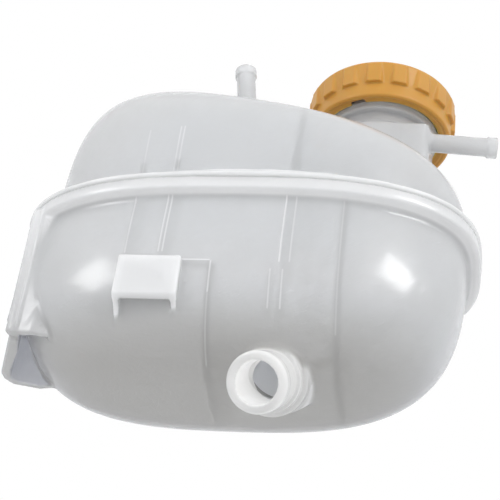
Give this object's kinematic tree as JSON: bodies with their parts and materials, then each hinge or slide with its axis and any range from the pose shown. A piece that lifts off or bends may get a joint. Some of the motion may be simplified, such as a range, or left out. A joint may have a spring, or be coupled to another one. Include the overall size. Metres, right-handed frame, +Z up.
{
  "type": "coolant expansion tank",
  "caption": "Translucent two-shell coolant expansion tank with bottom outlet, hose nipples, bracket pocket and socket, and a lobed screw cap holding relief and vacuum valves.",
  "frame": {"origin": "centre of the mouth of the side pocket, which a bracket tongue enters from below", "axes": "+Z up, square to the weld flange and along the filler neck; +X along the tank towards the side nipple; -Y the front, where the outlet and the front socket are"},
  "size_m": [0.2023, 0.1146, 0.2081],
  "materials": {
    "milky_plastic": "milky translucent, semi-gloss",
    "cap_plastic": "fine satin grain",
    "black_plastic": "satin",
    "grey_plastic": "satin",
    "seal_rubber": "smooth",
    "valve_brass": "turned",
    "spring_steel": "drawn wire"
  },
  "bodies": {
    "tank": {"lower_shell": "milky_plastic", "upper_shell": "milky_plastic"},
    "insert": {"valve_housing": "black_plastic", "neck_seal": "seal_rubber", "spring_retainer": "grey_plastic", "relief_spring": "spring_steel"},
    "cap": {"cap_shell": "cap_plastic"},
    "relief": {"relief_plate": "valve_brass", "relief_gasket": "seal_rubber", "vacuum_spring": "spring_steel"},
    "vacuum": {"vacuum_valve": "valve_brass", "vacuum_face": "seal_rubber", "stem_clip": "spring_steel"}
  },
  "joints": [
    {"name": "cap_lift", "type": "slide", "parent": "tank", "child": "insert", "axis": [0, 0, 1], "range_m": [0, 0.008]},
    {"name": "cap_turn", "type": "hinge", "parent": "insert", "child": "cap", "pos_m": [0.1355, 0.036, 0.155], "axis": [0, 0, 1], "range_deg": [0, 720]},
    {"name": "relief_slide", "type": "slide", "parent": "insert", "child": "relief", "axis": [0, 0, 1], "range_m": [0, 0.0025], "stiffness_N_per_m": 2300, "springref_m": -0.008, "deforming": ["relief_spring"]},
    {"name": "vacuum_slide", "type": "slide", "parent": "relief", "child": "vacuum", "axis": [0, 0, -1], "range_m": [0, 0.0012], "stiffness_N_per_m": 300, "springref_m": -0.002, "deforming": ["vacuum_spring"]}
  ],
  "couplings": [
    {"joint": "cap_lift", "follows": "cap_turn", "m_per_rad": 0.0006366}
  ]
}
